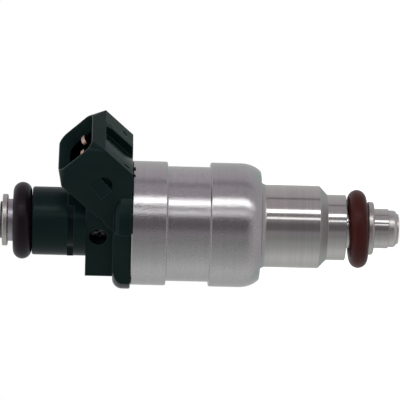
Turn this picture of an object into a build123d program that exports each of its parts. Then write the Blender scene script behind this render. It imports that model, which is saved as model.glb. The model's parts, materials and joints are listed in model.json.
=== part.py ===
from build123d import *
import os
from math import cos, radians, sin

# Fuel injector with a side plug socket, in millimetres.
# The origin is the centre of the lower seal, on the injector's axis. +Z runs up the axis to the
# fuel inlet, and the plug socket leans out over +X.

# ---- Seals: one ring size at both ends, and the diameters that carry it ----
seal_inner = 7.52          # inside diameter
seal_section = 3.53        # thickness of the ring
seal_stretch = 0.48        # on the inlet tube
seal_seat_step = 0.38      # on its seat above the stem
tube_diameter = seal_inner + seal_stretch
seal_seat_diameter = seal_inner + seal_seat_step
stem_diameter = seal_inner

# ---- Spray end, below the lower seal ----
washer_gap = 0.28          # free play between the seal and its washer
washer_thickness = 1.11
washer_width = 1.29        # radial, past the stem
washer_groove = 0.2        # radial depth of the groove that it is snapped into
stem_length = 2.79         # bare stem between the washer and the spray cap
cap_step = 0.26            # radial, in from the stem
cap_straight = 0.85
cap_taper = 0.77
cap_tip_step = 0.65        # radial, in from the cap
cap_tip_length = 0.32
cap_mouth = 3.8            # diameter of the open end
cap_throat = 2.4

# ---- Nozzle holder, from the lower seal up to the housing ----
nose_gap = 0.455           # free play between the seal and the nose
nose_diameter = 12.45
nose_length = 3.52
nose_taper = 1.56
neck_diameter = 15.68
neck_length = 11.16
neck_flare = 1.1           # fillet against the housing
holder_insert = 4.04       # length of the neck inside the housing
holder_floor = 1.7         # wall left above the taper

# ---- Valve housing, three diameters ----
middle_band_diameter = 21.8
lower_band_step = 0.875    # radial steps up from the middle band
upper_band_step = 0.865
housing_wall = 0.9
lower_band_length = 9.6
shoulder_length = 3.52     # height of the arc that rounds the lower end in
shoulder_drop = 1.16
shoulder_lip = 0.3
middle_band_length = 8.12
upper_band_length = 6.71
band_edge = 0.3
ledge_thickness = 3.5      # ring between the coil chamber and the nozzle holder

# ---- Connector body: collar, block and upper sleeve ----
collar_overhang = 0.8    # radial, past the housing
collar_height = 3.38
collar_round = 1.9         # radius on the inlet side of the rim
collar_edge = 0.3
flat_depth = 2.2           # two flats on the rim
flat_top = 4.5             # the flats end here, towards the socket
block_width = 17.6
block_wall = 1.33          # over the tube, on both sides
block_height = 5.19
pin_hole_diameter = 3.45   # moulding support hole that bares the tube
pin_hole_above_collar = 2.83
sleeve_wall = 2.475        # over the tube
sleeve_length = 10.17
sleeve_edge = 0.4
clip_groove_width = 1.18
clip_groove_offset = 2.3   # from the block to the groove
clip_groove_wall = 1.0     # left under the groove
clip_key_width = 6.6       # lands that stop the clip from turning
clip_key_proud = 0.08

# ---- Plug socket ----
socket_angle = 45.0        # from the injector's axis
socket_width = 14.8
socket_height = 11.4
socket_length = 23.25      # from the injector's axis to the start of the taper
taper_length = 1.9
taper_side = 1.3
taper_back = 1.5
taper_front = 1.0
socket_edge = 0.3
mouth_corner = 2.0
rim_thickness = 0.25
cavity_depth = 8.75
cavity_floor_wall = 1.1    # least wall left under the cavity
lug_from_taper = 6.7       # latch lug: its step, measured back from the taper
lug_length = 3.5
lug_width = 2.77
lug_height = 1.2
lug_shift = -0.4           # off the socket's centre line, towards the inlet
lug_pocket_radius = 1.68
lug_pocket_shift = 0.625   # from the middle of the lug, outwards
lug_pocket_along = 1.55    # from the lug's step
lug_pocket_depth = 0.8
key_width = 1.45           # rib on the outer face
key_near_edge = -1.55      # its edge, across the socket
key_height = 0.4
key_ramp = 1.4
valley_depth = 1.15        # hollow beside the rib
valley_flat = 0.6
valley_width = 7.0
valley_end_gap = 0.15
notch_radius = 1.4         # dip across the inner edge of the socket
notch_from_taper = 10.2
notch_depth = 0.5
slit_across = 6.0          # small moulding marks on the outer face
slit_from_joint = 1.7
dimple_across = 4.8
dimple_from_joint = 2.3
dimple_depth = 0.12
dimple_diameter = 1.2
slit_length = 1.35
slit_width = 0.55
slit_depth = 0.7
gate_diameter = 0.7        # stub of the moulding gate under the overhang
gate_length = 0.6
gate_across = 0.9
gate_offset = 0.835        # from the side of the housing to the stub's middle

# ---- Terminals ----
terminal_pitch = 5.0
blade_width = 2.8
blade_thickness = 0.8
blade_round = 1.1
blade_offset = 0.3         # off the socket's centre line, outwards
blade_setback = 1.21       # from the mouth to the tips
blade_root = 1.0           # from the bend to the full width
leg_width = 1.2
leg_hole = 1.9             # diameter of the moulded peg round each leg
leg_inset = 2.416          # from the wall of the coil chamber to the leg's middle

# ---- Inlet tube and magnetic core ----
tube_exposed = 4.64        # between the sleeve and the end flange
end_flange_step = 0.9      # radial, past the tube
end_flange_thickness = 1.03
end_flange_edge = 0.2
rail_seal_gap = 0.1        # free play between the sleeve and the rail seal
core_wall = 1.95
filter_bore_wall = 1.1
filter_pocket = 9.3
core_flange_thickness = 2.39
pole_height = 5.0          # pole face above the ledge

# ---- Inlet filter ----
filter_rim_thickness = 0.45
filter_rim_step = 0.6      # radial, past the filter bore
filter_ring_wall = 0.5
filter_ring_length = 2.5
filter_wall = 0.55
filter_length = 8.4
filter_window_length = 4.9
filter_window_width = 2.2
filter_window_count = 4
filter_floor = 0.6
mesh_wall = 0.12

# ---- Coil ----
bobbin_clearance = 0.1     # to the core and to the housing
bobbin_hub_wall = 1.6
bobbin_flange = 1.3
winding_margin = 0.6       # flange left outside the winding
upper_ring_section = 1.2
upper_ring_pocket = 1.4
lower_ring_section = 0.8
lower_ring_reach = 2.9      # from the bobbin bore to the middle of the ring
lower_ring_groove = 1.3
flange_ring_section = 0.7
flange_ring_groove = 1.0

# ---- Valve ----
valve_lift = 0.15
air_gap = 0.10             # left at full lift
armature_clearance = 0.05
armature_step = 0.1        # radial, in from the core
armature_float = 0.2       # above the stop plate
spring_pocket_depth = 3.25
spring_pocket_room = 0.2
stop_plate_thickness = 1.0
stop_plate_step = 0.5      # radial, past the seat body
stop_slot_room = 0.15
rod_step = 0.1             # radial, out from the middle of the spring's wire
shaft_diameter = 2.4
collar_land = 1.0          # thickness of the needle's stop collar
collar_land_step = 1.1     # radial, past the rod
collar_room = 0.35
collar_recess_room = 0.3
guide_diameter = 4.0
guide_clearance = 0.02
guide_length = 3.0
guide_drop = 2.0           # upper guide below the recess
lower_guide_rise = 4.7     # lower guide above the end of the seat body
neck_wall = 1.84           # round the seat body
stem_wall = 0.96
seat_outlet = 1.0
seat_outlet_length = 0.25
seat_gap = 0.03            # closed needle to seat
needle_tip_diameter = 0.9
disc_thickness = 0.25
disc_hole = 0.24
disc_hole_circle = 0.6
disc_hole_count = 4

# ---- Spring and its adjuster ----
spring_length = 9.5
spring_wire = 0.6
spring_side_room = 0.35    # to the core bore
spring_turns = 7
spring_play = 0.01
adjuster_length = 7.0
adjuster_wall = 0.75

# ---- Diameters that follow ----
coil_bore = middle_band_diameter - 2 * housing_wall
lower_band_diameter = middle_band_diameter + 2 * lower_band_step
upper_band_diameter = middle_band_diameter + 2 * upper_band_step
collar_diameter = upper_band_diameter + 2 * collar_overhang
flat_reach = collar_diameter / 2 - flat_depth
block_depth = tube_diameter + 2 * block_wall
sleeve_diameter = tube_diameter + 2 * sleeve_wall
clip_groove_floor = tube_diameter + 2 * clip_groove_wall
end_flange_diameter = tube_diameter + 2 * end_flange_step
core_bore = tube_diameter - 2 * core_wall
filter_bore = tube_diameter - 2 * filter_bore_wall
filter_rim_diameter = filter_bore + 2 * filter_rim_step
washer_diameter = stem_diameter + 2 * washer_width
washer_seat = stem_diameter - 2 * washer_groove
cap_diameter = stem_diameter - 2 * cap_step
cap_tip_diameter = cap_diameter - 2 * cap_tip_step
hub_bore = tube_diameter + 2 * bobbin_clearance
bobbin_hub = hub_bore + 2 * bobbin_hub_wall
bobbin_size = coil_bore - 2 * bobbin_clearance
winding_diameter = bobbin_size - 2 * winding_margin
lower_ring_diameter = hub_bore + 2 * lower_ring_reach
armature_diameter = tube_diameter - 2 * armature_step
spring_mean = core_bore - 2 * spring_side_room - spring_wire
spring_pocket = spring_mean + spring_wire + 2 * spring_pocket_room
rod_diameter = spring_mean + 2 * rod_step
adjuster_bore = core_bore - 2 * adjuster_wall
seat_outer = neck_diameter - 2 * neck_wall
seat_spigot = stem_diameter - 2 * stem_wall
stop_plate_diameter = seat_outer + 2 * stop_plate_step
stop_slot = rod_diameter + 2 * stop_slot_room
collar_land_diameter = rod_diameter + 2 * collar_land_step
collar_recess_diameter = collar_land_diameter + 2 * collar_recess_room

# ---- Heights that follow from the lengths ----
z_washer_top = -seal_section / 2 - washer_gap
z_washer_end = z_washer_top - washer_thickness
z_stem_end = z_washer_end - stem_length
z_cap_taper = z_stem_end - cap_straight
z_cap_tip = z_cap_taper - cap_taper
z_cap_end = z_cap_tip - cap_tip_length
z_nose = seal_section / 2 + nose_gap
z_nose_top = z_nose + nose_length
z_neck = z_nose_top + nose_taper
z_housing = z_neck + neck_length
z_shoulder = z_housing + shoulder_lip
z_shoulder_top = z_shoulder + shoulder_length
z_middle_band = z_housing + lower_band_length
z_upper_band = z_middle_band + middle_band_length
z_joint = z_upper_band + upper_band_length
z_collar = z_joint + collar_height
z_block = z_collar + block_height
z_groove = z_block + clip_groove_offset
z_sleeve = z_block + sleeve_length
z_end_flange = z_sleeve + tube_exposed
z_tube_end = z_end_flange + end_flange_thickness
z_rail_seal = z_sleeve + rail_seal_gap + seal_section / 2
z_pin_hole = z_collar + pin_hole_above_collar
z_holder_top = z_housing + holder_insert
z_plate = z_holder_top - stop_plate_thickness
z_ledge = z_holder_top + ledge_thickness
z_core_flange = z_joint - core_flange_thickness
z_pole = z_ledge + pole_height
z_armature_top = z_pole - air_gap - valve_lift
z_armature = z_holder_top + armature_float
z_spring = z_armature_top - spring_pocket_depth
z_adjuster = z_spring + spring_length
z_land_top = z_plate - valve_lift
z_land = z_land_top - collar_land
z_recess = z_land - collar_room
z_seat_step = z_neck + holder_floor
z_disc_top = z_stem_end + disc_thickness
z_outlet = z_disc_top + seat_outlet_length
z_filter_floor = z_tube_end - filter_length

# ---- Frame of the socket: across, outwards, and along its axis to the mouth ----
along = Vector(sin(radians(socket_angle)), 0, cos(radians(socket_angle)))
across = Vector(0, -1, 0)
outwards = Vector(cos(radians(socket_angle)), 0, -sin(radians(socket_angle)))
# The terminals' legs stand in the coil chamber, and bend where their middle meets the joint.
leg_x = coil_bore / 2 - leg_inset
bend_at = (leg_x - blade_offset * outwards.X) / along.X
z_socket = z_joint - bend_at * along.Z - blade_offset * outwards.Z
socket_plane = Plane(origin=(0, 0, z_socket), x_dir=across, z_dir=along)
profile_plane = Plane(origin=(0, 0, z_socket), x_dir=along, z_dir=outwards)
side_plane = Plane(origin=(0, 0, z_socket), x_dir=along, z_dir=across)
mouth_at = socket_length + taper_length
mouth_width = socket_width - 2 * taper_side
mouth_height = socket_height - taper_front - taper_back
mouth_shift = (taper_front - taper_back) / 2
cavity_floor_at = mouth_at - cavity_depth
tip_at = mouth_at - blade_setback


def turned(outline):
    """Add the solid turned from a closed outline of (radius, height) points."""
    with BuildSketch(Plane.XZ) as section:
        with BuildLine():
            Polyline(*outline, close=True)
        make_face()
    revolve(section.sketch, axis=Axis.Z)


def sleeve(inner, outer, low, high):
    """Add a plain ring between two diameters and two heights."""
    turned([(inner / 2, low), (outer / 2, low), (outer / 2, high), (inner / 2, high)])


def ring_seal(section, middle, height, seat):
    """Add a round-section ring, flattened where it sits on a cylinder of the seat diameter."""
    with BuildSketch(Plane.XZ) as ring:
        with Locations((middle / 2, height)):
            Circle(section / 2)
        with Locations((seat / 2 + section, height)):
            Rectangle(2 * section, 2 * section, mode=Mode.INTERSECT)
    revolve(ring.sketch, axis=Axis.Z)


def finish(piece, name):
    """Name a finished piece and write its file."""
    piece.part.label = name
    export_step(piece.part, f"parts/{name}.step")


os.makedirs("parts", exist_ok=True)

# ---- Inlet tube and magnetic core: one turned piece ----
with BuildPart() as inlet_core:
    tube_r = tube_diameter / 2
    end_r = end_flange_diameter / 2
    with BuildSketch(Plane.XZ):
        with BuildLine():
            Polyline(
                (core_bore / 2, z_pole), (tube_r, z_pole), (tube_r, z_core_flange),
                (coil_bore / 2, z_core_flange), (coil_bore / 2, z_joint), (tube_r, z_joint),
                (tube_r, z_end_flange), (end_r, z_end_flange), (end_r, z_tube_end),
                (filter_bore / 2, z_tube_end), (filter_bore / 2, z_tube_end - filter_pocket),
                (core_bore / 2, z_tube_end - filter_pocket), close=True)
        make_face()
        rim = vertices().sort_by_distance((end_r, z_end_flange))[0]
        rim_end = vertices().sort_by_distance((end_r, z_tube_end))[0]
        fillet([rim, rim_end], radius=end_flange_edge)
    revolve(axis=Axis.Z)
    with BuildSketch(Plane.XY.offset(z_core_flange)):
        with Locations((leg_x, terminal_pitch / 2), (leg_x, -terminal_pitch / 2)):
            Circle(leg_hole / 2)
    extrude(amount=core_flange_thickness, mode=Mode.SUBTRACT)
    groove_r = coil_bore / 2 - flange_ring_section
    with BuildSketch(Plane.XZ):
        with Locations((groove_r + flange_ring_section / 2, (z_core_flange + z_joint) / 2)):
            Rectangle(flange_ring_section, flange_ring_groove)
    revolve(axis=Axis.Z, mode=Mode.SUBTRACT)
finish(inlet_core, "inlet_core")

with BuildPart() as flange_seal:
    flange_ring_seat = coil_bore - 2 * flange_ring_section
    ring_seal(
        flange_ring_section, coil_bore - flange_ring_section, (z_core_flange + z_joint) / 2,
        flange_ring_seat)
finish(flange_seal, "flange_seal")

# ---- Inlet filter ----
with BuildPart() as filter_ring:
    ring_bore = filter_bore - 2 * filter_ring_wall
    sleeve(ring_bore, filter_bore, z_tube_end - filter_ring_length, z_tube_end)
    sleeve(ring_bore, filter_rim_diameter, z_tube_end, z_tube_end + filter_rim_thickness)
finish(filter_ring, "filter_ring")

with BuildPart() as filter_frame:
    cage_r = ring_bore / 2
    window_z = z_filter_floor + filter_floor + filter_window_length / 2
    sleeve(ring_bore - 2 * filter_wall, ring_bore, z_filter_floor, z_tube_end)
    sleeve(0, ring_bore, z_filter_floor, z_filter_floor + filter_floor)
    with PolarLocations(cage_r, filter_window_count):
        with Locations((0, 0, window_z)):
            Box(3 * filter_wall, filter_window_width, filter_window_length, mode=Mode.SUBTRACT)
finish(filter_frame, "filter_frame")

with BuildPart() as filter_mesh:
    mesh_outer = ring_bore - 2 * filter_wall
    mesh_low = z_filter_floor + filter_floor
    sleeve(mesh_outer - 2 * mesh_wall, mesh_outer, mesh_low, mesh_low + filter_window_length)
finish(filter_mesh, "filter_mesh")

# ---- Outer seals and the washer ----
with BuildPart() as upper_o_ring:
    ring_seal(seal_section, seal_inner + seal_section, z_rail_seal, tube_diameter)
finish(upper_o_ring, "upper_o_ring")

with BuildPart() as lower_o_ring:
    ring_seal(seal_section, seal_inner + seal_section, 0, seal_seat_diameter)
finish(lower_o_ring, "lower_o_ring")

with BuildPart() as retaining_washer:
    sleeve(washer_seat, washer_diameter, z_washer_end, z_washer_top)
    outer_edge = edges().filter_by(GeomType.CIRCLE).group_by(Axis.Z)[0].sort_by(SortBy.LENGTH)[-1]
    fillet(outer_edge, radius=washer_thickness / 2)
finish(retaining_washer, "retaining_washer")

# ---- Valve housing ----
with BuildPart() as valve_housing:
    low_r = lower_band_diameter / 2
    mid_r = middle_band_diameter / 2
    top_r = upper_band_diameter / 2
    neck_r = neck_diameter / 2
    guide_r = armature_diameter / 2 + armature_clearance
    with BuildSketch(Plane.XZ):
        with BuildLine():
            Polyline(
                (low_r - shoulder_drop, z_shoulder), (low_r - shoulder_drop - shoulder_lip, z_housing),
                (neck_r, z_housing), (neck_r, z_holder_top), (guide_r, z_holder_top),
                (guide_r, z_ledge), (coil_bore / 2, z_ledge), (coil_bore / 2, z_joint),
                (top_r, z_joint), (top_r, z_upper_band), (mid_r, z_upper_band),
                (mid_r, z_middle_band), (low_r, z_middle_band), (low_r, z_shoulder_top))
            TangentArc(
                (low_r, z_shoulder_top), (low_r - shoulder_drop, z_shoulder), tangent=(0, -1))
        make_face()
        band_corners = [
            vertices().sort_by_distance(corner)[0]
            for corner in ((top_r, z_joint), (top_r, z_upper_band), (mid_r, z_middle_band),
                           (low_r, z_middle_band))
        ]
        fillet(band_corners, radius=band_edge)
    revolve(axis=Axis.Z)
finish(valve_housing, "valve_housing")

# ---- Nozzle holder: neck, nose and stem ----
with BuildPart() as nozzle_holder:
    seal_r = seal_seat_diameter / 2
    washer_r = washer_seat / 2
    stem_r = stem_diameter / 2
    nose_r = nose_diameter / 2
    seat_r = seat_outer / 2
    spigot_r = seat_spigot / 2
    plate_r = stop_plate_diameter / 2
    with BuildSketch(Plane.XZ):
        with BuildLine():
            Polyline(
                (neck_r, z_housing - neck_flare), (neck_r, z_neck), (nose_r, z_nose_top),
                (nose_r, z_nose), (seal_r, z_nose), (seal_r, z_washer_top),
                (washer_r, z_washer_top), (washer_r, z_washer_end), (stem_r, z_washer_end),
                (stem_r, z_stem_end), (spigot_r, z_stem_end),
                (spigot_r, z_seat_step), (seat_r, z_seat_step), (seat_r, z_plate),
                (plate_r, z_plate), (plate_r, z_holder_top), (neck_r, z_holder_top),
                (neck_r, z_housing), (neck_r + neck_flare, z_housing))
            RadiusArc(
                (neck_r + neck_flare, z_housing), (neck_r, z_housing - neck_flare), neck_flare)
        make_face()
    revolve(axis=Axis.Z)
finish(nozzle_holder, "nozzle_holder")

# ---- Spray end ----
with BuildPart() as orifice_disc:
    with BuildSketch(Plane.XY.offset(z_stem_end)):
        Circle(seat_spigot / 2)
        with PolarLocations(disc_hole_circle / 2, disc_hole_count):
            Circle(disc_hole / 2, mode=Mode.SUBTRACT)
    extrude(amount=disc_thickness)
finish(orifice_disc, "orifice_disc")

with BuildPart() as spray_cap:
    with BuildSketch(Plane.XZ):
        with BuildLine():
            cap_side = Line((cap_diameter / 2, z_stem_end), (cap_diameter / 2, z_cap_taper))
            cap_curve = TangentArc(cap_side @ 1, (cap_tip_diameter / 2, z_cap_tip), tangent=(0, -1))
            Polyline(
                cap_curve @ 1, (cap_tip_diameter / 2, z_cap_end), (cap_mouth / 2, z_cap_end),
                (cap_throat / 2, z_stem_end), cap_side @ 0)
        make_face()
    revolve(axis=Axis.Z)
finish(spray_cap, "spray_cap")

# ---- Seat body, stop plate, needle and armature ----
with BuildPart() as seat_body:
    bore_r = guide_diameter / 2 + guide_clearance
    outlet_r = seat_outlet / 2
    z_cone = z_outlet + bore_r - outlet_r
    turned([
        (outlet_r, z_disc_top), (spigot_r, z_disc_top), (spigot_r, z_seat_step),
        (seat_r, z_seat_step), (seat_r, z_plate), (collar_recess_diameter / 2, z_plate),
        (collar_recess_diameter / 2, z_recess), (bore_r, z_recess), (bore_r, z_cone),
        (outlet_r, z_outlet)])
finish(seat_body, "seat_body")

with BuildPart() as stop_plate:
    with BuildSketch(Plane.XY.offset(z_plate)):
        Circle(stop_plate_diameter / 2)
        Circle(stop_slot / 2, mode=Mode.SUBTRACT)
        with Locations((stop_plate_diameter / 2, 0)):
            Rectangle(stop_plate_diameter, stop_slot, mode=Mode.SUBTRACT)
    extrude(amount=stop_plate_thickness)
finish(stop_plate, "stop_plate")

with BuildPart() as valve_needle:
    rod_r = rod_diameter / 2
    shaft_r = shaft_diameter / 2
    guide_r_needle = guide_diameter / 2
    land_r = collar_land_diameter / 2
    tip_r = needle_tip_diameter / 2
    z_guide_top = z_recess - guide_drop
    z_low_guide = z_stem_end + lower_guide_rise
    z_tip = z_outlet + seat_gap + tip_r - outlet_r
    turned([
        (0, z_tip), (tip_r, z_tip), (shaft_r, z_tip + shaft_r - tip_r), (shaft_r, z_low_guide),
        (guide_r_needle, z_low_guide), (guide_r_needle, z_low_guide + guide_length),
        (shaft_r, z_low_guide + guide_length), (shaft_r, z_guide_top - guide_length),
        (guide_r_needle, z_guide_top - guide_length), (guide_r_needle, z_guide_top),
        (shaft_r, z_guide_top), (shaft_r, z_land), (land_r, z_land), (land_r, z_land_top),
        (rod_r, z_land_top), (rod_r, z_spring), (0, z_spring)])
finish(valve_needle, "valve_needle")

with BuildPart() as armature:
    armature_r = armature_diameter / 2
    turned([
        (rod_r, z_armature), (armature_r, z_armature), (armature_r, z_armature_top),
        (spring_pocket / 2, z_armature_top), (spring_pocket / 2, z_spring), (rod_r, z_spring)])
finish(armature, "armature")

# ---- Return spring and the tube that sets it ----
with BuildPart() as return_spring:
    coil_height = spring_length - spring_wire - 2 * spring_play
    coil_start = z_spring + spring_wire / 2 + spring_play
    with BuildLine() as spring_path:
        Helix(
            pitch=coil_height / spring_turns, height=coil_height, radius=spring_mean / 2,
            center=(0, 0, coil_start))
    with BuildSketch(Plane(origin=spring_path.line @ 0, z_dir=spring_path.line % 0)):
        Circle(spring_wire / 2)
    sweep(is_frenet=True)
finish(return_spring, "return_spring")

with BuildPart() as adjusting_sleeve:
    sleeve(adjuster_bore, core_bore, z_adjuster, z_adjuster + adjuster_length)
finish(adjusting_sleeve, "adjusting_sleeve")


# ---- Terminals: a leg up from the coil, a bend, and a blade in the socket ----
def terminal(side):
    """Build one terminal; side is +1 or -1 along Y."""
    with BuildPart() as piece:
        leg_low = z_core_flange - bobbin_flange
        with BuildSketch(Plane.XY.offset(leg_low)):
            with Locations((leg_x, side * terminal_pitch / 2)):
                Rectangle(blade_thickness, leg_width)
        extrude(amount=z_joint - leg_low)
        with BuildSketch(profile_plane.offset(blade_offset - blade_thickness / 2)):
            with Locations(((bend_at + tip_at) / 2, -side * terminal_pitch / 2)):
                Rectangle(tip_at - bend_at, leg_width)
            with Locations(((bend_at + blade_root + tip_at) / 2, -side * terminal_pitch / 2)):
                Rectangle(tip_at - bend_at - blade_root, blade_width)
            fillet(vertices().sort_by(Axis.X)[-2:], radius=blade_round)
        extrude(amount=blade_thickness)
    return piece


terminal_left = terminal(1)
terminal_right = terminal(-1)
finish(terminal_left, "terminal_left")
finish(terminal_right, "terminal_right")

# ---- Coil ----
with BuildPart() as coil_bobbin:
    sleeve(hub_bore, bobbin_hub, z_ledge, z_core_flange)
    sleeve(hub_bore, bobbin_size, z_ledge, z_ledge + bobbin_flange)
    sleeve(hub_bore, bobbin_size, z_core_flange - bobbin_flange, z_core_flange)
    pocket_size = tube_diameter + 2 * upper_ring_section
    with BuildSketch(Plane.XY.offset(z_core_flange)):
        Circle(pocket_size / 2)
    extrude(amount=-upper_ring_pocket, mode=Mode.SUBTRACT)
    with BuildSketch(Plane.XY.offset(z_ledge)):
        Circle((lower_ring_diameter + lower_ring_groove) / 2)
        Circle((lower_ring_diameter - lower_ring_groove) / 2, mode=Mode.SUBTRACT)
    extrude(amount=lower_ring_section, mode=Mode.SUBTRACT)
    add([terminal_left.part, terminal_right.part], mode=Mode.SUBTRACT)
finish(coil_bobbin, "coil_bobbin")

with BuildPart() as coil_winding:
    sleeve(bobbin_hub, winding_diameter, z_ledge + bobbin_flange, z_core_flange - bobbin_flange)
finish(coil_winding, "coil_winding")

with BuildPart() as bobbin_seal_upper:
    upper_ring_middle = tube_diameter + upper_ring_section
    ring_seal(
        upper_ring_section, upper_ring_middle, z_core_flange - upper_ring_pocket / 2, tube_diameter)
finish(bobbin_seal_upper, "bobbin_seal_upper")

with BuildPart() as bobbin_seal_lower:
    ring_seal(
        lower_ring_section, lower_ring_diameter, z_ledge + lower_ring_section / 2,
        lower_ring_diameter - lower_ring_section)
finish(bobbin_seal_lower, "bobbin_seal_lower")

# ---- Connector body ----
with BuildPart() as connector_body:
    # Socket: a straight prism, then a short taper to the thin mouth.
    with BuildSketch(socket_plane):
        RectangleRounded(socket_width, socket_height, socket_edge)
    extrude(amount=socket_length)
    with BuildSketch(socket_plane.offset(socket_length)):
        RectangleRounded(socket_width, socket_height, socket_edge)
    with BuildSketch(socket_plane.offset(mouth_at)):
        with Locations((0, mouth_shift)):
            RectangleRounded(mouth_width, mouth_height, mouth_corner)
    loft(ruled=True)
    # Key rib with a ramped end, and the hollow beside it.
    face_at = socket_height / 2
    with BuildSketch(side_plane.offset(key_near_edge - key_width)):
        with BuildLine():
            Polyline(
                (0, 0), (socket_length, 0), (socket_length, -face_at),
                (socket_length - key_ramp, -face_at - key_height), (0, -face_at - key_height),
                close=True)
        make_face()
    extrude(amount=key_width)
    with BuildSketch(socket_plane):
        with BuildLine():
            valley = Polyline(
                (key_near_edge + valley_width, face_at), (key_near_edge + valley_width, face_at + 1),
                (key_near_edge, face_at + 1), (key_near_edge, face_at - valley_depth),
                (key_near_edge + valley_flat, face_at - valley_depth))
            TangentArc(valley @ 0, valley @ 1, tangent=(-1, 0))
        make_face()
    extrude(amount=socket_length - valley_end_gap, mode=Mode.SUBTRACT)
    # Dip across the inner edge.
    with BuildSketch(side_plane.offset(-socket_width)):
        with Locations((socket_length - notch_from_taper, face_at + notch_radius - notch_depth)):
            Circle(notch_radius)
    extrude(amount=2 * socket_width, mode=Mode.SUBTRACT)
    # Latch lugs on both sides, each with a round pocket on its outer side.
    half_width = socket_width / 2
    lug_step = socket_length - lug_from_taper
    with BuildSketch(side_plane.offset(-half_width)):
        with Locations((lug_step + lug_pocket_along, -lug_shift - lug_pocket_shift)):
            Circle(lug_pocket_radius)
    extrude(amount=lug_pocket_depth, mode=Mode.SUBTRACT)
    with BuildSketch(side_plane.offset(half_width)):
        with Locations((lug_step + lug_pocket_along, -lug_shift - lug_pocket_shift)):
            Circle(lug_pocket_radius)
    extrude(amount=-lug_pocket_depth, mode=Mode.SUBTRACT)
    with BuildSketch(profile_plane.offset(lug_shift - lug_width / 2)):
        for side in (1, -1):
            with BuildLine():
                Polyline(
                    (lug_step + lug_length, side * (half_width - lug_pocket_depth)),
                    (lug_step + lug_length, side * half_width),
                    (lug_step, side * (half_width + lug_height)),
                    (lug_step, side * (half_width - lug_pocket_depth)), close=True)
            make_face()
    extrude(amount=lug_width)
    # Everything below the joint is cut off level.
    split(bisect_by=Plane.XY.offset(z_joint), keep=Keep.TOP)
    # Small marks on the outer face: a slit on one side, a round dimple on the other.
    mark_at = (z_joint - z_socket - face_at * outwards.Z) / along.Z
    with BuildSketch(socket_plane.offset(mark_at + slit_from_joint)):
        with Locations((slit_across, face_at)):
            Rectangle(slit_width, 2 * slit_depth)
    extrude(amount=slit_length / 2, both=True, mode=Mode.SUBTRACT)
    with BuildSketch(profile_plane.offset(face_at)):
        with Locations((mark_at + dimple_from_joint, -dimple_across)):
            Circle(dimple_diameter / 2)
    extrude(amount=-dimple_depth, mode=Mode.SUBTRACT)
    # Collar with two flats.
    with BuildSketch(Plane.XZ):
        with Locations((collar_diameter / 4, z_joint + collar_height / 2)):
            Rectangle(collar_diameter / 2, collar_height)
        fillet(
            vertices().sort_by_distance((collar_diameter / 2, z_collar))[0], radius=collar_round)
        fillet(
            vertices().sort_by_distance((collar_diameter / 2, z_joint))[0], radius=collar_edge)
    revolve(axis=Axis.Z)
    with BuildSketch(Plane.XY.offset(z_joint)):
        with Locations((flat_top - collar_diameter, 0)):
            Rectangle(2 * collar_diameter, 2 * collar_diameter)
            Rectangle(2 * collar_diameter, 2 * flat_reach, mode=Mode.SUBTRACT)
    extrude(amount=collar_height, mode=Mode.SUBTRACT)
    # Block and upper sleeve.
    with BuildSketch(Plane.XY.offset(z_joint)):
        Rectangle(block_width, block_depth)
    extrude(amount=z_block - z_joint)
    sleeve(0, sleeve_diameter, z_block, z_sleeve)
    fillet(faces().sort_by(Axis.Z)[-1].edges(), radius=sleeve_edge)
    # Clip groove, open on both sides and interrupted by two keys.
    with BuildSketch(Plane.XY.offset(z_groove)):
        Circle(sleeve_diameter / 2 + clip_key_proud)
        Circle(clip_groove_floor / 2, mode=Mode.SUBTRACT)
        Rectangle(2 * sleeve_diameter, clip_key_width, mode=Mode.SUBTRACT)
    extrude(amount=clip_groove_width, mode=Mode.SUBTRACT)
    with BuildSketch(Plane.XY.offset(z_groove)):
        Circle(sleeve_diameter / 2 + clip_key_proud)
        Rectangle(2 * sleeve_diameter, clip_key_width, mode=Mode.INTERSECT)
    extrude(amount=clip_groove_width)
    # Stub of the moulding gate.
    with BuildSketch(Plane.XY.offset(z_joint)):
        with Locations((upper_band_diameter / 2 + gate_offset, -gate_across)):
            Circle(gate_diameter / 2)
    extrude(amount=-gate_length)
    # Pegs that fill the holes in the core's flange.
    with BuildSketch(Plane.XY.offset(z_joint)):
        with Locations((leg_x, terminal_pitch / 2), (leg_x, -terminal_pitch / 2)):
            Circle(leg_hole / 2)
    extrude(amount=-core_flange_thickness)
    # Cavity, tube bore, support holes and the terminals' own places.
    with BuildSketch(socket_plane.offset(cavity_floor_at)):
        with Locations((0, mouth_shift)):
            RectangleRounded(
                mouth_width - 2 * rim_thickness, mouth_height - 2 * rim_thickness,
                mouth_corner - rim_thickness)
    extrude(amount=cavity_depth, mode=Mode.SUBTRACT)
    with BuildSketch(Plane.XY.offset(z_joint)):
        Circle(tube_diameter / 2)
    extrude(amount=z_sleeve - z_joint, mode=Mode.SUBTRACT)
    with BuildSketch(Plane.XZ.offset(-block_depth)):
        with Locations((0, z_pin_hole)):
            Circle(pin_hole_diameter / 2)
    extrude(amount=2 * block_depth, mode=Mode.SUBTRACT)
    add([terminal_left.part, terminal_right.part], mode=Mode.SUBTRACT)
finish(connector_body, "connector_body")
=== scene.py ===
import json
from math import acos, cos, degrees, pi, radians, sin, tan
import bmesh
import bpy
from mathutils import Matrix, Vector


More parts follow.
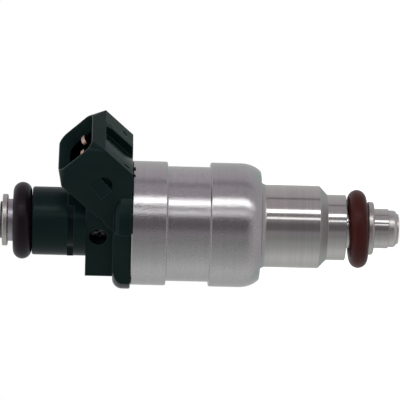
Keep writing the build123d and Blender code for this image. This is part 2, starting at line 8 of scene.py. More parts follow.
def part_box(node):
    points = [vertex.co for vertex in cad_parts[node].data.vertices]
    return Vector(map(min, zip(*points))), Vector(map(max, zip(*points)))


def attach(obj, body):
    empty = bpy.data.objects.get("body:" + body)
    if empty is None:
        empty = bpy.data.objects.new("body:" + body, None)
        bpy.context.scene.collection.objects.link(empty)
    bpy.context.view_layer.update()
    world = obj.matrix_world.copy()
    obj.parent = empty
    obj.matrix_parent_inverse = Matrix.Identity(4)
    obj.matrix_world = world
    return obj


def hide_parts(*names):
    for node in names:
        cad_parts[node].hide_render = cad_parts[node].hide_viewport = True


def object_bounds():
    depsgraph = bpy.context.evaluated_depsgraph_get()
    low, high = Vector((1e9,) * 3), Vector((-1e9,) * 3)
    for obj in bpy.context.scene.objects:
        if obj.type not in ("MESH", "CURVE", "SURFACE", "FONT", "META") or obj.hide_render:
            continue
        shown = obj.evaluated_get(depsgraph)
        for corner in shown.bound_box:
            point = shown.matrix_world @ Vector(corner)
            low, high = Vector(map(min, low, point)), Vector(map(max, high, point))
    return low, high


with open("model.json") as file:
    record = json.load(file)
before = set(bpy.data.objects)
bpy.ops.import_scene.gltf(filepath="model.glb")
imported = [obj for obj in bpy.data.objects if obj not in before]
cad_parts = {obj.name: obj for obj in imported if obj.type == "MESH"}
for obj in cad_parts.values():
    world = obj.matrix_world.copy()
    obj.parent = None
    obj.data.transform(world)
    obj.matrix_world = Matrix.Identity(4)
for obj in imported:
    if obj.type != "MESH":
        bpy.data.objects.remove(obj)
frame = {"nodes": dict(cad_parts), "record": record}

# Looks of the fuel injector. Lengths are in millimetres until mesh or scene data is made, which is in metres.
MM = 0.001
cad_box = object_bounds()
nodes = frame["nodes"]


def span(name):
    """The lowest and highest corners of a CAD node, in millimetres."""
    low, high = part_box(name)
    return Vector(low) / MM, Vector(high) / MM


# ---- Node trees ----
def place(tree, kind, feeds=None, **settings):
    """Add one node, with its settings, and feed its sockets from values or from other sockets."""
    made = tree.nodes.new(kind)
    for key, value in settings.items():
        setattr(made, key, value)
    for key, value in (feeds or {}).items():
        if isinstance(value, bpy.types.NodeSocket):
            tree.links.new(value, made.inputs[key])
        else:
            made.inputs[key].default_value = value
    return made


def math(tree, how, first, second=0.0, clamp=False):
    """One sum of two numbers."""
    return place(tree, "ShaderNodeMath", {0: first, 1: second}, operation=how, use_clamp=clamp).outputs[0]


def ramp(tree, value, *stops):
    """A run of greys or colours along a 0 to 1 value. Each stop is its place and its colour."""
    made = place(tree, "ShaderNodeValToRGB", {"Fac": value})
    bar = made.color_ramp
    while len(bar.elements) < len(stops):
        bar.elements.new(0.5)
    for mark, (position, colour) in zip(bar.elements, stops):
        mark.position = position
        mark.color = (*colour, 1) if isinstance(colour, tuple) else (colour, colour, colour, 1)
    return made.outputs["Color"]


def blended(tree, amount, first, second):
    """A mix of two colours."""
    made = place(tree, "ShaderNodeMix", data_type="RGBA")
    for number, value in ((0, amount), (6, first), (7, second)):
        if isinstance(value, bpy.types.NodeSocket):
            tree.links.new(value, made.inputs[number])
        else:
            made.inputs[number].default_value = (*value, 1) if isinstance(value, tuple) else value
    return made.outputs[2]


def between(tree, value, low, high):
    """A 0 to 1 value spread between two numbers."""
    return place(tree, "ShaderNodeMapRange", {0: value, 3: low, 4: high}).outputs[0]


def effect(name, inputs, outputs):
    """Start a shared shader group with named number inputs and named outputs."""
    tree = bpy.data.node_groups.new(name, "ShaderNodeTree")
    for label, default in inputs:
        socket = tree.interface.new_socket(label, in_out="INPUT", socket_type="NodeSocketFloat")
        socket.default_value = default
    for label, kind in outputs:
        tree.interface.new_socket(label, in_out="OUTPUT", socket_type=kind)
    return tree, tree.nodes.new("NodeGroupInput"), tree.nodes.new("NodeGroupOutput")


def stretched(tree, x, y, z):
    """Object coordinates in millimetres, stretched along each axis."""
    where = place(tree, "ShaderNodeTexCoord").outputs["Object"]
    factor = place(tree, "ShaderNodeCombineXYZ", {"X": x, "Y": y, "Z": z}).outputs[0]
    scaled = place(tree, "ShaderNodeVectorMath", {0: where, 1: factor}, operation="MULTIPLY").outputs[0]
    made = place(tree, "ShaderNodeVectorMath", {0: scaled}, operation="SCALE")
    made.inputs["Scale"].default_value = 1 / MM
    return made.outputs[0]


def along(tree, vector, direction):
    """How far a vector reaches along a direction."""
    made = place(tree, "ShaderNodeVectorMath", {0: vector, 1: direction}, operation="DOT_PRODUCT")
    return made.outputs["Value"]


def over(tree, value, level, softness=0.0001):
    """A mask that is 1 where a value is over a level."""
    return place(tree, "ShaderNodeMapRange", {0: value, 1: level, 2: level + softness}).outputs[0]


# Lathe marks: rings round the piece, with a slow drift between them.
lathe_marks, given, made = effect(
    "Lathe marks", [("Pitch", 6.0), ("Drift", 0.05)],
    [("Height", "NodeSocketFloat"), ("Tone", "NodeSocketFloat")])
drift = given.outputs["Drift"]
fine = place(lathe_marks, "ShaderNodeTexNoise", {
    "Vector": stretched(lathe_marks, drift, drift, given.outputs["Pitch"]), "Scale": 1.0,
    "Detail": 3.0, "Roughness": 0.7}).outputs[0]
broad = place(lathe_marks, "ShaderNodeTexNoise", {
    "Vector": stretched(lathe_marks, drift, drift, 0.6), "Scale": 1.0, "Detail": 2.0}).outputs[0]
lathe_marks.links.new(fine, made.inputs["Height"])
summed = math(lathe_marks, "ADD", fine, broad)
lathe_marks.links.new(math(lathe_marks, "MULTIPLY", summed, 0.5), made.inputs["Tone"])

# Grain: a fine even sparkle, with soft waves under it.
grain, given, made = effect(
    "Grain", [("Size", 0.12), ("Waves", 0.4)],
    [("Height", "NodeSocketFloat"), ("Tone", "NodeSocketFloat"), ("Mottle", "NodeSocketFloat")])
per_mm = math(grain, "DIVIDE", 1.0, given.outputs["Size"])
speck = place(grain, "ShaderNodeTexNoise", {
    "Vector": stretched(grain, per_mm, per_mm, per_mm), "Scale": 1.0, "Detail": 3.0,
    "Roughness": 0.65}).outputs[0]
wave = place(grain, "ShaderNodeTexNoise", {
    "Vector": stretched(grain, 1.1, 1.1, 0.8), "Scale": 1.0, "Detail": 4.0, "Roughness": 0.55}).outputs[0]
cloud = place(grain, "ShaderNodeTexNoise", {
    "Vector": stretched(grain, 0.16, 0.16, 0.1), "Scale": 1.0, "Detail": 3.0}).outputs[0]
grain.links.new(
    math(grain, "ADD", speck, math(grain, "MULTIPLY", wave, given.outputs["Waves"])), made.inputs["Height"])
grain.links.new(speck, made.inputs["Tone"])
grain.links.new(cloud, made.inputs["Mottle"])

# Edge wear and painted highlight: where the surface turns sharply, a mask that brightens the colour, and the
# softened normal there.
edges, given, made = effect(
    "Edge wear and painted highlight", [("Width", 0.12), ("Unevenness", 0.5)],
    [("Edge", "NodeSocketFloat"), ("Normal", "NodeSocketVector")])
width = math(edges, "MULTIPLY", given.outputs["Width"], MM)
soft = place(edges, "ShaderNodeBevel", {"Radius": width}, samples=8).outputs[0]
sharp = place(edges, "ShaderNodeNewGeometry").outputs["Normal"]
turn = place(edges, "ShaderNodeVectorMath", {0: soft, 1: sharp}, operation="DOT_PRODUCT").outputs["Value"]
strength = math(edges, "MULTIPLY", math(edges, "SUBTRACT", 1.0, turn), 6.0, clamp=True)
patchy = place(edges, "ShaderNodeTexNoise", {
    "Vector": stretched(edges, 2.2, 2.2, 2.2), "Scale": 1.0, "Detail": 3.0}).outputs[0]
kept = math(edges, "SUBTRACT", 1.0, math(edges, "MULTIPLY", patchy, given.outputs["Unevenness"]))
edges.links.new(math(edges, "MULTIPLY", strength, kept), made.inputs["Edge"])
edges.links.new(soft, made.inputs["Normal"])

# Handling: smudges and fine stray marks.
handling, given, made = effect(
    "Handling", [("Amount", 0.5)], [("Smudge", "NodeSocketFloat"), ("Speck", "NodeSocketFloat")])
smudge = place(handling, "ShaderNodeTexNoise", {
    "Vector": stretched(handling, 0.35, 0.35, 0.35), "Scale": 1.0, "Detail": 5.0,
    "Distortion": 0.6}).outputs[0]
speck = place(handling, "ShaderNodeTexVoronoi", {
    "Vector": stretched(handling, 1.6, 1.6, 1.6), "Scale": 1.0, "Randomness": 1.0}).outputs["Distance"]
spot = math(handling, "MULTIPLY", math(handling, "SUBTRACT", 0.14, speck, clamp=True), 7.0, clamp=True)
handling.links.new(math(handling, "MULTIPLY", smudge, given.outputs["Amount"]), made.inputs["Smudge"])
handling.links.new(math(handling, "MULTIPLY", spot, given.outputs["Amount"]), made.inputs["Speck"])


def use(tree, group, **values):
    """Place a shared effect in a material with its own values."""
    made = tree.nodes.new("ShaderNodeGroup")
    made.node_tree = group
    for key, value in values.items():
        made.inputs[key].default_value = value
    return made.outputs


def finish(name, **values):
    """Start a material and return its tree and its shader, with the shader's even values set."""
    material = bpy.data.materials.new(name)
    material.use_nodes = True
    tree = material.node_tree
    shader = tree.nodes["Principled BSDF"]
    for key, value in values.items():
        shader.inputs[key.replace("_", " ")].default_value = value
    return material, tree, shader


def raised(tree, shader, height, distance, normal=None):
    """Feed the shader's normal from a height, over the softened edges if they are given."""
    feeds = {"Height": height, "Distance": distance * MM, "Strength": 1.0}
    if normal is not None:
        feeds["Normal"] = normal
    tree.links.new(place(tree, "ShaderNodeBump", feeds).outputs[0], shader.inputs["Normal"])


def metal(
        name, dark, light, rough, marks=None, sparkle=None, edge=0.1, bump=0.004,
        rings_share=1.0, slopes=None, shade=None):
    """A bare or plated metal. rough is its lowest and highest roughness, and slopes is the roughness of the
    faces that lean along the axis. marks are the pitch and drift of its lathe marks, and sparkle the size and
    the waves of its grain."""
    material, tree, shader = finish(name, Metallic=1.0)
    edge_wear_and_highlight = use(tree, edges, Width=edge, Unevenness=0.6)
    touched = use(tree, handling, Amount=0.5)
    pitch, drift_share = marks or (6.0, 0.03)
    rings = use(tree, lathe_marks, Pitch=pitch, Drift=drift_share)
    size, waves = sparkle or (0.12, 0.4)
    skin = use(tree, grain, Size=size, Waves=waves)
    if marks and sparkle:
        height = math(tree, "ADD", math(tree, "MULTIPLY", rings["Height"], rings_share), skin["Height"])
        both = math(tree, "ADD", math(tree, "MULTIPLY", rings["Tone"], rings_share), skin["Tone"])
        tone = math(tree, "DIVIDE", both, 1.0 + rings_share)
    elif marks:
        height, tone = rings["Height"], rings["Tone"]
    else:
        height, tone = skin["Height"], skin["Tone"]
    body = blended(tree, ramp(tree, tone, (0.3, 0.0), (0.7, 1.0)), dark, light)
    clouded = blended(tree, ramp(tree, skin["Mottle"], (0.42, 0.0), (0.62, 0.35)), body, (0.50, 0.53, 0.52))
    # The edges are brightened, partly as wear and partly as a painted highlight.
    edge_colour = tuple(1.15 * value for value in light)
    edged = blended(tree, math(tree, "MULTIPLY", edge_wear_and_highlight["Edge"], 0.35), clouded, edge_colour)
    if shade:
        edged = shade(tree, edged)
    tree.links.new(edged, shader.inputs["Base Color"])
    spread = math(tree, "ADD", math(tree, "MULTIPLY", tone, 0.6), touched["Smudge"])
    dulled = between(tree, spread, *rough)
    if slopes:
        facing = place(tree, "ShaderNodeNewGeometry").outputs["Normal"]
        lean = math(tree, "ABSOLUTE", along(tree, facing, (0, 0, 1)))
        sloping = over(tree, lean, 0.08, 0.2)
        dulled = place(tree, "ShaderNodeMix", {0: sloping, 2: dulled, 3: slopes}).outputs[0]
    tree.links.new(dulled, shader.inputs["Roughness"])
    raised(tree, shader, height, bump, normal=edge_wear_and_highlight["Normal"])
    return material


def rubber(name, dark, light, rough):
    """A moulded seal, a little cloudy where it has been handled."""
    material, tree, shader = finish(name, Specular_IOR_Level=0.2)
    skin = use(tree, grain, Size=0.09, Waves=0.5)
    touched = use(tree, handling, Amount=1.0)
    tone = blended(tree, skin["Mottle"], dark, light)
    dust = tuple(3 * value for value in light)
    dusty = blended(tree, math(tree, "MULTIPLY", touched["Speck"], 0.35), tone, dust)
    tree.links.new(dusty, shader.inputs["Base Color"])
    tree.links.new(between(tree, touched["Smudge"], *rough), shader.inputs["Roughness"])
    raised(tree, shader, skin["Height"], 0.004)
    return material


def nylon(name, dark, light, rough, edge_colour, gloss, bump=0.006, shade=None, **values):
    """Glass-filled nylon: a dark moulded skin, paler along its edges, partly from wear and partly as a
    painted highlight.
    """
    material, tree, shader = finish(name, Specular_IOR_Level=gloss, **values)
    edge_wear_and_highlight = use(tree, edges, Width=0.22, Unevenness=0.45)
    skin = use(tree, grain, Size=0.14, Waves=0.8)
    touched = use(tree, handling, Amount=0.6)
    tone = blended(tree, ramp(tree, skin["Mottle"], (0.35, 0.0), (0.65, 1.0)), dark, light)
    # Paler edges: partly wear, partly painted highlight.
    edged = blended(tree, math(tree, "MULTIPLY", edge_wear_and_highlight["Edge"], 0.8), tone, edge_colour)
    dusty = blended(tree, math(tree, "MULTIPLY", touched["Speck"], 0.25), edged, edge_colour)
    if shade:
        dusty = shade(tree, dusty)
    tree.links.new(dusty, shader.inputs["Base Color"])
    spread = math(tree, "ADD", math(tree, "MULTIPLY", skin["Tone"], 0.5), touched["Smudge"])
    tree.links.new(between(tree, spread, *rough), shader.inputs["Roughness"])
    raised(tree, shader, skin["Height"], bump, normal=edge_wear_and_highlight["Normal"])
    return material


mounts = {mount["name"]: mount for mount in frame["record"]["mounts"]}
mouth, plug_axis = Vector(mounts["plug_socket"]["pos_m"]), Vector(mounts["plug_socket"]["axis"])
hollow_depth = 9.0          # a box round the socket's hollow, measured from its mouth
hollow_half_width = 6.1
hollow_half_height = 4.5
# The walls are painted lit this far in from the mouth, and painted black shade deeper in.
painted_lit_depth = 2.9            # how far in from the mouth the walls are pale


def socket_painted_light(tree, tone):
    """Painted light on the walls just inside the mouth of the socket, and painted black shade deeper in."""
    here = place(tree, "ShaderNodeTexCoord").outputs["Object"]
    facing = place(tree, "ShaderNodeNewGeometry").outputs["True Normal"]
    reach = place(tree, "ShaderNodeVectorMath", {0: here, 1: tuple(mouth)}, operation="SUBTRACT").outputs[0]
    depth = along(tree, reach, tuple(plug_axis))
    tilt = along(tree, facing, tuple(plug_axis))
    outwards = math(tree, "SUBTRACT", along(tree, facing, reach), math(tree, "MULTIPLY", depth, tilt))
    across = math(tree, "ABSOLUTE", along(tree, reach, (0, 1, 0)))
    rise = math(tree, "ABSOLUTE", along(tree, reach, (plug_axis.z, 0, -plug_axis.x)))
    inner = math(
        tree, "MULTIPLY", math(tree, "LESS_THAN", outwards, 0.0), over(tree, depth, -hollow_depth * MM))
    for side, limit in ((across, hollow_half_width), (rise, hollow_half_height)):
        inner = math(tree, "MULTIPLY", inner, math(tree, "LESS_THAN", side, limit * MM))
    shallow = over(tree, depth, -painted_lit_depth * MM, 0.25 * MM)
    # Painted light near the mouth and painted black shade deeper in the hollow.
    painted_wall_light_and_shade = blended(tree, shallow, (0.0004, 0.0003, 0.0003), (0.024, 0.052, 0.049))
    return blended(tree, inner, tone, painted_wall_light_and_shade)


def blade_painted_shade(tree, tone):
    """Painted dark brown shade on the flat faces of the terminals; their ends keep the copper colour."""
    facing = place(tree, "ShaderNodeNewGeometry").outputs["True Normal"]
    end = along(tree, facing, tuple(plug_axis))
    # Faces that don't point out of the socket get painted shade.
    return blended(tree, over(tree, end, 0.25, 0.3), (0.13, 0.035, 0.022), tone)


sleeve_end = span("connector_body")[1].z
flange_thickness = 1.1
flange_start = span("inlet_core")[1].z - flange_thickness


def tube_shade_and_warm_flange(tree, tone):
    """The tube is painted dark shade, with painted glints, where the sleeve covers it, and its end flange is
    warmer.
    """
    here = place(tree, "ShaderNodeTexCoord").outputs["Object"]
    height = along(tree, here, (0, 0, 1))
    blotch = place(tree, "ShaderNodeTexNoise", {
        "Vector": stretched(tree, 1.4, 1.4, 1.0), "Scale": 1.0, "Detail": 3.0,
        "Distortion": 1.5}).outputs[0]
    # Painted shade with painted glints on the tube where it sits inside the sleeve.
    painted_glints = ramp(tree, blotch, (0.50, (0.004, 0.004, 0.005)), (0.62, (0.11, 0.105, 0.12)))
    shaded_under_sleeve = blended(tree, over(tree, height, (sleeve_end + 0.25) * MM), painted_glints, tone)
    warmth = math(tree, "MULTIPLY", over(tree, height, flange_start * MM), 0.75)
    return blended(tree, warmth, shaded_under_sleeve, (0.60, 0.565, 0.52))


finishes = {
    "housing_steel": metal(
        "satin zinc plate", (0.47, 0.455, 0.465), (0.67, 0.655, 0.66), (0.08, 0.17),
        marks=(2.2, 0.02), sparkle=(0.24, 0.30), edge=0.15, bump=0.021, rings_share=0.35),
    "turned_steel": metal(
        "fine turned steel", (0.55, 0.53, 0.515), (0.67, 0.65, 0.63), (0.09, 0.17),
        marks=(3.2, 0.01), edge=0.1, bump=0.0022, slopes=0.46),
    "tube_steel": metal(
        "drawn steel tube", (0.42, 0.40, 0.46), (0.52, 0.50, 0.56), (0.30, 0.42),
        marks=(4.0, 0.03), edge=0.1, bump=0.003, shade=tube_shade_and_warm_flange),
    "washer_steel": metal(
        "stamped washer steel", (0.50, 0.47, 0.45), (0.62, 0.59, 0.56), (0.24, 0.36),
        sparkle=(0.3, 1.0), edge=0.1, bump=0.004),
    "tip_steel": metal(
        "turned tip steel", (0.60, 0.57, 0.55), (0.74, 0.71, 0.68), (0.24, 0.38),
        marks=(3.0, 0.02), edge=0.1, bump=0.004),
    "ground_steel": metal(
        "ground steel", (0.52, 0.52, 0.52), (0.64, 0.64, 0.64), (0.12, 0.24),
        marks=(12.0, 0.01), bump=0.0015),
    "spring_steel": metal(
        "drawn spring wire", (0.36, 0.36, 0.38), (0.48, 0.48, 0.49), (0.2, 0.34),
        sparkle=(0.08, 0.4), bump=0.002),
    "terminal_copper": metal(
        "bare terminal copper", (0.62, 0.34, 0.26), (0.80, 0.50, 0.40), (0.24, 0.42),
        sparkle=(0.10, 0.9), edge=0.15, bump=0.004, shade=blade_painted_shade),
    "coil_copper": metal(
        "enamelled coil wire", (0.48, 0.16, 0.06), (0.66, 0.27, 0.10), (0.22, 0.36),
        marks=(5.0, 0.0), bump=0.03),
    "filter_rim_steel": metal(
        "blackened steel", (0.045, 0.045, 0.05), (0.09, 0.09, 0.095), (0.25, 0.4),
        marks=(5.0, 0.02), bump=0.002),
    "filter_screen": metal(
        "woven screen wire", (0.40, 0.40, 0.38), (0.55, 0.55, 0.52), (0.25, 0.4),
        sparkle=(0.05, 0.3), bump=0.001),
    "rail_seal_rubber": rubber(
        "black seal rubber", (0.009, 0.0045, 0.0085), (0.014, 0.0075, 0.0125), (0.26, 0.38)),
    "manifold_seal_rubber": rubber(
        "brown seal rubber", (0.055, 0.0085, 0.0065), (0.085, 0.014, 0.011), (0.26, 0.40)),
    "inner_rubber": rubber(
        "inner seal rubber", (0.008, 0.008, 0.008), (0.018, 0.018, 0.018), (0.4, 0.6)),
    "green_nylon": nylon(
        "green glass-filled nylon", (0.0055, 0.0160, 0.0150), (0.0075, 0.0200, 0.0185), (0.17, 0.32),
        (0.035, 0.085, 0.070), 0.15, bump=0.012, shade=socket_painted_light, Specular_Tint=(0.72, 1.0, 0.95, 1)),
    "filter_nylon": nylon(
        "natural nylon", (0.42, 0.39, 0.32), (0.60, 0.57, 0.49), (0.35, 0.55), (0.75, 0.72, 0.65), 0.5),
    "bobbin_nylon": nylon(
        "black nylon", (0.012, 0.012, 0.012), (0.028, 0.028, 0.028), (0.4, 0.6), (0.08, 0.08, 0.08), 0.4),
}
for part in frame["record"]["subparts"]:
    carried = nodes[part["node"]]
    for socket in carried.material_slots:
        socket.material = finishes[part["material_slot"]]


# ---- Turned pieces ----
turning = bpy.data.node_groups.new("Turned piece", "GeometryNodeTree")
turning.interface.new_socket("Outline", in_out="INPUT", socket_type="NodeSocketGeometry")
turning.interface.new_socket("Ring Radius", in_out="INPUT", socket_type="NodeSocketFloat")
turning.interface.new_socket("Facets", in_out="INPUT", socket_type="NodeSocketInt")
turning.interface.new_socket("Finish", in_out="INPUT", socket_type="NodeSocketMaterial")
turning.interface.new_socket("Piece", in_out="OUTPUT", socket_type="NodeSocketGeometry")
given = turning.nodes.new("NodeGroupInput")
ring = place(turning, "GeometryNodeCurvePrimitiveCircle", {
    "Resolution": given.outputs["Facets"], "Radius": given.outputs["Ring Radius"]})
upright = place(turning, "GeometryNodeSetCurveNormal", {"Curve": ring.outputs[0]}, mode="Z_UP")
outline = place(turning, "GeometryNodeMeshToCurve", {"Mesh": given.outputs["Outline"]})
swept = place(turning, "GeometryNodeCurveToMesh", {
    "Curve": upright.outputs[0], "Profile Curve": outline.outputs[0]})
welded = place(turning, "GeometryNodeMergeByDistance", {
    "Geometry": swept.outputs[0], "Distance": 0.001 * MM})
smooth = place(turning, "GeometryNodeSetShadeSmooth", {"Geometry": welded.outputs[0]})
whole = place(turning, "GeometryNodeRealizeInstances", {"Geometry": smooth.outputs[0]})
coated = place(turning, "GeometryNodeSetMaterial", {
    "Geometry": whole.outputs[0], "Material": given.outputs["Finish"]})
turning.links.new(coated.outputs[0], turning.nodes.new("NodeGroupOutput").inputs[0])


def grown(name, start, tree, values):
    """Run a tree on a starting mesh and keep the result as a plain mesh that faces outwards."""
    piece = bpy.data.objects.new(name, start)
    bpy.context.scene.collection.objects.link(piece)
    modifier = piece.modifiers.new(name, "NODES")
    modifier.node_group = tree
    for socket in tree.interface.items_tree:
        if socket.in_out == "INPUT" and socket.name in values:
            modifier[socket.identifier] = values[socket.name]
    bpy.context.view_layer.update()
    result = bpy.data.meshes.new_from_object(piece.evaluated_get(bpy.context.evaluated_depsgraph_get()))
    piece.modifiers.remove(modifier)
    result.name = name
    piece.data = result
    work = bmesh.new()
    work.from_mesh(result)
    bmesh.ops.recalc_face_normals(work, faces=work.faces)
    work.to_mesh(result)
    work.free()
    return piece


def rounded(corners):
    """Round each corner of a closed outline. A corner is its radius from the axis, its height and its
    rounding."""
    points = []
    for number, corner in enumerate(corners):
        here = Vector(corner[:2])
        size = corner[2] if len(corner) > 2 else 0.03
        back = Vector(corners[number - 1][:2]) - here
        on = Vector(corners[(number + 1) % len(corners)][:2]) - here
        if size == 0:
            points.append(here)
            continue
        bend = pi - back.angle(on)
        reach = min(size * tan(bend / 2), 0.42 * back.length, 0.42 * on.length)
        size = reach / tan(bend / 2)
        ease = min(0.08, 0.05 * min(back.length, on.length))
        start = here + back.normalized() * reach
        end = here + on.normalized() * reach
        middle = here + (back.normalized() + on.normalized()).normalized() * (size / cos(bend / 2))
        points.append(start + back.normalized() * ease)
        steps = max(3, round(bend / radians(14))) if size > 0.05 else 2
        first = start - middle
        side = 1 if first.cross(end - middle) > 0 else -1
        for step in range(steps + 1):
            turn_by = side * bend * step / steps
            points.append(middle + Matrix.Rotation(turn_by, 2) @ first)
        points.append(end + on.normalized() * ease)
    return points


def arc(x, z, size, start, end, steps=8):
    """Plain points along an arc, from its centre, its radius and its two angles in degrees."""
    angles = [radians(start + (end - start) * step / steps) for step in range(steps + 1)]
    return [(x + size * cos(angle), z + size * sin(angle), 0) for angle in angles]


def turned(name, corners, slot, replaced, facets=160, lean=None):
    """Turn a closed outline of rounded corners into a piece that stands for its CAD node."""
    ring_radius = 10.0
    start = bpy.data.meshes.new(name + "_outline")
    points = rounded(corners)
    count = len(points)
    start.from_pydata(
        [((p.x - ring_radius) * MM, -p.y * MM, 0) for p in points],
        [(i, (i + 1) % count) for i in range(count)], [])
    piece = grown(name, start, turning, {
        "Ring Radius": ring_radius * MM, "Facets": facets, "Finish": finishes[slot]})
    if lean:
        piece.data.transform(lean)
    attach(piece, "injector")
    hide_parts(replaced)
    return piece


# Housing: an upper band, a narrower middle, and a lower band with a round shoulder.
housing_low, housing_high = span("valve_housing")
housing_foot, housing_top = housing_low.z, housing_high.z
neck_radius = 7.84
holder_top = span("nozzle_holder")[1].z
web_top = span("coil_bobbin")[0].z    # the web between the holder and the coil
web_hole = 3.95
chamber_radius = 10.0
upper_band, middle_band, lower_band = 11.765, 10.9, 11.775
middle_top, middle_foot = 36.18, 28.06
shoulder_round, shoulder_middle = 5.92, 22.28
rim_radius, rim_height, foot_radius = 10.615, 18.76, 10.315
turned("housing_shell", [
    (foot_radius, housing_foot, 0.15), (neck_radius, housing_foot), (neck_radius, holder_top),
    (web_hole, holder_top), (web_hole, web_top), (chamber_radius, web_top), (chamber_radius, housing_top),
    (upper_band, housing_top, 0.3), (upper_band, middle_top, 0.3), (middle_band, middle_top, 0.15),
    (middle_band, middle_foot, 0.15), (lower_band, middle_foot, 0.3),
    *arc(lower_band - shoulder_round, shoulder_middle, shoulder_round, 0, -34, 12),
    (rim_radius, rim_height, 0.1)],
    "housing_steel", "valve_housing", facets=200)

# Holder: the neck, its taper, the nose, the stem and the lip under the washer.
washer_low, washer_high = span("retaining_washer")
seat_high, plate_high = span("seat_body")[1], span("stop_plate")[1]
stem_end = span("nozzle_holder")[0].z
stem_radius, washer_seat, lip_radius = 3.95, 3.56, 3.76
nose_radius, nose_foot, nose_top, neck_foot = 6.225, 2.22, 5.74, 7.3
stem_bore, seat_floor = 2.8, 9.0
plate_radius = 6.5
neck_flare = 1.1            # fillet against the housing
turned("turned_holder", [
    (washer_seat, washer_high.z), (washer_seat, washer_low.z), (lip_radius, washer_low.z),
    (lip_radius, stem_end, 0.06), (stem_bore, stem_end), (stem_bore, seat_floor),
    (seat_high.x, seat_floor), (seat_high.x, seat_high.z), (plate_radius, seat_high.z),
    (plate_radius, plate_high.z), (neck_radius, plate_high.z), (neck_radius, housing_foot),
    (neck_radius + neck_flare, housing_foot),
    *arc(neck_radius + neck_flare, housing_foot - neck_flare, neck_flare, 100, 180, 10),
    (neck_radius, neck_foot, 0.12), (nose_radius, nose_top, 0.12), (nose_radius, nose_foot, 0.12),
    (stem_radius, nose_foot), (stem_radius, washer_high.z)],
    "turned_steel", "nozzle_holder", facets=180)

washer_radius = 5.05
turned("stamped_washer", [
    (washer_seat, washer_low.z), (washer_radius, washer_low.z, 0.5),
    (washer_radius, washer_high.z, 0.12), (washer_seat, washer_high.z)],
    "washer_steel", "retaining_washer", facets=140)

# Tip: a plain band, a rounded end and a short spigot with the spray hole in it.
cap_low, cap_high = span("spray_cap")
cap_radius, cap_round, spigot_radius, cap_hole_top, cap_hole_foot = 3.5, 0.781, 2.85, 1.2, 1.9
cap_round_middle, spigot_top = -6.795, -7.565
turned("stepped_cap", [
    (cap_hole_top, cap_high.z), (cap_radius, cap_high.z, 0.05),
    *arc(cap_radius - cap_round, cap_round_middle, cap_round, 0, -80, 10), (spigot_radius, spigot_top, 0.05),
    (spigot_radius, cap_low.z, 0.1), (cap_hole_foot, cap_low.z, 0.08)],
    "tip_steel", "spray_cap", facets=140)

rim_low, rim_high = span("filter_ring")
tube_end = span("inlet_core")[1].z
ring_hole, ring_radius, ring_edge = 2.4, 2.9, 3.5
turned("filter_rim", [
    (ring_hole, rim_low.z), (ring_radius, rim_low.z), (ring_radius, tube_end), (ring_edge, tube_end, 0.1),
    (ring_edge, rim_high.z, 0.14), (ring_hole, rim_high.z, 0.18)],
    "filter_rim_steel", "filter_ring", facets=120)


def seal(name, node, seat, slot, lean=None):
    """Turn a round-section seal with a fine moulding line at its widest, sitting on its seat."""
    low, high = span(node)
    thick, height = (high.z - low.z) / 2, (low.z + high.z) / 2
    centre = high.x - thick
    seated = degrees(acos((seat - centre) / thick))
    line_proud, line_angle = 0.04, 3
    turned(name, [
        *arc(centre, height, thick, -seated, -line_angle, 30), (high.x + line_proud, height, 0),
        *arc(centre, height, thick, line_angle, seated, 30)],
        slot, node, facets=140, lean=lean)


# Neither seal sits quite true: each leans, and is pushed off centre. The lower one is a little stretched.
lean_axis = (0.545, -0.839, 0)
sideways_push = Vector((0.839, 0.545, 0)) * MM
tube_radius = 4.0
rail_lean = Matrix.Translation(0.42 * sideways_push) @ Matrix.Rotation(radians(0.4), 4, lean_axis)
seal("rail_seal", "upper_o_ring", tube_radius, "rail_seal_rubber", rail_lean)
port_push = Matrix.Translation(-0.18 * sideways_push + Vector((0, 0, -0.15 * MM)))
port_lean = port_push @ Matrix.Rotation(radians(2.6), 4, lean_axis) @ Matrix.Diagonal((1.02, 1.02, 1, 1))
seal("port_seal", "lower_o_ring", stem_radius, "manifold_seal_rubber", port_lean)

# ---- Camera ----
azimuth, height_angle, roll = radians(33), radians(0.5), radians(1.37)
to_camera = Vector((sin(azimuth) * cos(height_angle), -cos(azimuth) * cos(height_angle), sin(height_angle)))
along_axis = Vector((0, 0, -1))
level_right = (along_axis - along_axis.dot(to_camera) * to_camera).normalized()
level_up = to_camera.cross(level_right)
right = cos(roll) * level_right + sin(roll) * level_up
up = cos(roll) * level_up - sin(roll) * level_right
camera_distance, aim_right, aim_up = 660, 13.2, 4.296
middle = Vector((0, 0, 43.0))
stand = (middle + camera_distance * to_camera) * MM
aim = (middle + aim_right * right + aim_up * up) * MM
camera = bpy.data.objects.new("camera", bpy.data.cameras.new("camera"))
camera.data.lens = 312.5
camera.data.sensor_width = 36
camera.data.clip_start = 0.02
camera.data.clip_end = 20
back = (stand - aim).normalized()
sideways = (right - right.dot(back) * back).normalized()
turn_to = Matrix((sideways, back.cross(sideways), back)).transposed()
camera.matrix_world = Matrix.Translation(stand) @ turn_to.to_4x4()
bpy.context.scene.collection.objects.link(camera)
bpy.context.scene.camera = camera

# ---- Studio ----
bpy.context.scene.view_settings.view_transform = "Standard"
world = bpy.data.worlds.new("studio")
bpy.context.scene.world = world
world.use_nodes = True
studio = world.node_tree
studio.nodes.clear()
facing = place(studio, "ShaderNodeMapping", {
    "Vector": place(studio, "ShaderNodeTexCoord").outputs["Generated"],
    "Rotation": (0, 0, pi / 2 - azimuth)}, vector_type="POINT").outputs[0]
parts = place(studio, "ShaderNodeSeparateXYZ", {0: facing}).outputs
around = place(studio, "ShaderNodeMath", {0: parts["Y"], 1: parts["X"]}, operation="ARCTAN2").outputs[0]
turn_share = place(studio, "ShaderNodeMapRange", {0: around, 1: -pi, 2: pi, 3: 0.0, 4: 1.0}).outputs[0]


def at(angle):
    """The place along the ramp of an angle round the injector, in degrees from the camera's side."""
    return 0.5 + angle / 360


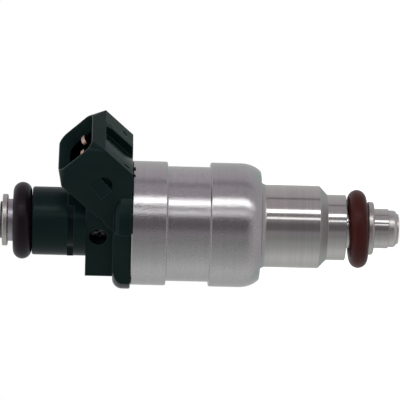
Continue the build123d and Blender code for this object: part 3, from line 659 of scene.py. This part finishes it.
rose, plain_white, cool = (1.05, 0.96, 1.04), (1.0, 1.0, 1.0), (0.99, 1.0, 0.995)
glow = ramp(studio, turn_share, *(
    (at(angle), tuple(level * share for share in tint)) for angle, level, tint in (
        (-180, 0.130, cool), (-142, 0.130, cool), (-106, 0.150, cool), (-93, 0.147, cool), (-71, 0.115, cool),
        (-58, 0.098, plain_white), (-46, 0.088, plain_white), (-34, 0.070, plain_white), (-16, 0.068, rose),
        (-12, 0.046, rose), (-8, 0.037, rose), (7, 0.037, rose), (11, 0.054, rose), (20.0, 0.062, rose),
        (20.8, 0.55, plain_white), (23.9, 0.55, plain_white), (24.7, 0.055, rose), (37.8, 0.055, rose),
        (39.3, 0.90, plain_white), (45.8, 0.90, plain_white), (47.6, 0.098, rose), (80, 0.100, rose),
        (82.5, 0.048, rose), (86, 0.048, rose), (88.5, 0.105, rose), (105, 0.118, rose),
        (140, 0.130, plain_white), (180, 0.130, cool))))
overhead = place(studio, "ShaderNodeMapRange", {0: parts["Z"], 1: 0.6, 2: 0.95, 3: 0.0, 4: 1.0}).outputs[0]
below = place(studio, "ShaderNodeMapRange", {0: parts["Z"], 1: -0.35, 2: -0.8, 3: 0.0, 4: 1.0}).outputs[0]
topped = blended(studio, overhead, glow, (0.16, 0.16, 0.16))
lit = blended(studio, below, topped, (0.115, 0.11, 0.115))
# Low behind the injector the light is greener.
low_behind = math(
    studio, "MULTIPLY", over(studio, math(studio, "MULTIPLY", parts["X"], -1.0), 0.4, 0.2),
    over(studio, math(studio, "MULTIPLY", parts["Z"], -1.0), 0.25, 0.2))
lit = blended(studio, low_behind, lit, (0.104, 0.124, 0.118))
soft_light = place(studio, "ShaderNodeBackground", {"Color": lit, "Strength": 4.0})
plain = place(studio, "ShaderNodeBackground", {"Color": (1, 1, 1, 1), "Strength": 1.0})
seen = place(studio, "ShaderNodeLightPath").outputs["Is Camera Ray"]
both = place(studio, "ShaderNodeMixShader", {0: seen, 1: soft_light.outputs[0], 2: plain.outputs[0]})
studio.links.new(both.outputs[0], place(studio, "ShaderNodeOutputWorld").inputs["Surface"])

floor_radius, floor_gap = 600, 0.3
floor_mesh = bpy.data.meshes.new("floor")
work = bmesh.new()
bmesh.ops.create_circle(work, cap_ends=True, segments=64, radius=floor_radius * MM)
work.to_mesh(floor_mesh)
work.free()
floor_mesh.transform(Matrix.Translation((0, 0, cad_box[0].z - floor_gap * MM)))
floor = bpy.data.objects.new("floor", floor_mesh)
bpy.context.scene.collection.objects.link(floor)
paper = bpy.data.materials.new("white paper")
paper.use_nodes = True
tree = paper.node_tree
tree.nodes.clear()
matt = place(tree, "ShaderNodeBsdfDiffuse", {"Color": (0.85, 0.85, 0.85, 1)})
lift = place(tree, "ShaderNodeEmission", {"Color": (1, 1, 1, 1), "Strength": 0.75})
bright = place(tree, "ShaderNodeAddShader", {0: matt.outputs[0], 1: lift.outputs[0]})
path = place(tree, "ShaderNodeLightPath").outputs
shown = place(tree, "ShaderNodeMixShader", {
    0: path["Is Camera Ray"], 1: matt.outputs[0], 2: bright.outputs[0]})
# Metal sees the ring of light through the floor, so its lower end isn't washed out.
clear = place(tree, "ShaderNodeBsdfTransparent")
mirrored = place(tree, "ShaderNodeMixShader", {
    0: path["Is Glossy Ray"], 1: shown.outputs[0], 2: clear.outputs[0]})
tree.links.new(mirrored.outputs[0], place(tree, "ShaderNodeOutputMaterial").inputs["Surface"])
floor_mesh.materials.append(paper)
